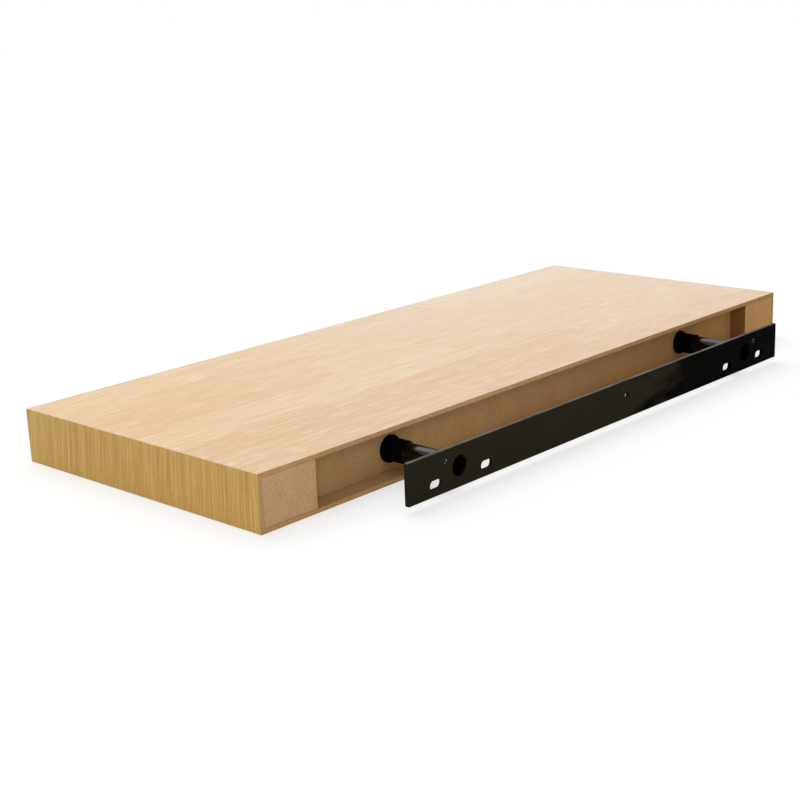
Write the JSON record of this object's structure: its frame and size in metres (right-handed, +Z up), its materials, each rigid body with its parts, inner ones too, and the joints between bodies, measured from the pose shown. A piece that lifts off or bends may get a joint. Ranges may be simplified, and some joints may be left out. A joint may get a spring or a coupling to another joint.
{
  "type": "floating wall shelf",
  "caption": "Hollow-core floating wall shelf in light oak finish that slides over the sheathed rods of a black steel wall bracket.",
  "frame": {"origin": "middle of the whole in plan, at the height of the board's underside, on which it can lie", "axes": "+X along the board, -Y towards its front edge, +Y towards the wall, +Z up"},
  "size_m": [0.6, 0.281, 0.038],
  "materials": {
    "oak_foil": "satin",
    "oak_end_foil": "satin",
    "raw_fibreboard": "matte",
    "kraft_paper": "matte",
    "black_painted_steel": "satin",
    "black_plastic": "matte",
    "black_zinc": "satin"
  },
  "bodies": {
    "wall_bracket": {"wall_plate": "black_painted_steel", "left_support_tube": "black_painted_steel", "right_support_tube": "black_painted_steel", "left_rod_sheath": "black_plastic", "right_rod_sheath": "black_plastic"},
    "shelf": {"top_skin": "oak_foil", "bottom_skin": "oak_foil", "front_edge_skin": "oak_foil", "left_end_skin": "oak_end_foil", "right_end_skin": "oak_end_foil", "front_batten": "raw_fibreboard", "rear_rail": "raw_fibreboard", "left_end_batten": "raw_fibreboard", "right_end_batten": "raw_fibreboard", "left_rod_batten": "raw_fibreboard", "right_rod_batten": "raw_fibreboard", "middle_honeycomb_core": "kraft_paper", "left_honeycomb_core": "kraft_paper", "right_honeycomb_core": "kraft_paper", "left_rod_bush": "black_plastic", "right_rod_bush": "black_plastic"},
    "left_leveller": {"left_levelling_screw": "black_zinc"},
    "right_leveller": {"right_levelling_screw": "black_zinc"}
  },
  "joints": [
    {"name": "shelf_slide", "type": "slide", "parent": "wall_bracket", "child": "shelf", "axis": [0, 1, 0], "range_m": [-0.1, 0.046]},
    {"name": "left_leveller_travel", "type": "slide", "parent": "wall_bracket", "child": "left_leveller", "axis": [0, 1, 0], "range_m": [0, 0.003]},
    {"name": "right_leveller_travel", "type": "slide", "parent": "wall_bracket", "child": "right_leveller", "axis": [0, 1, 0], "range_m": [0, 0.003]}
  ]
}
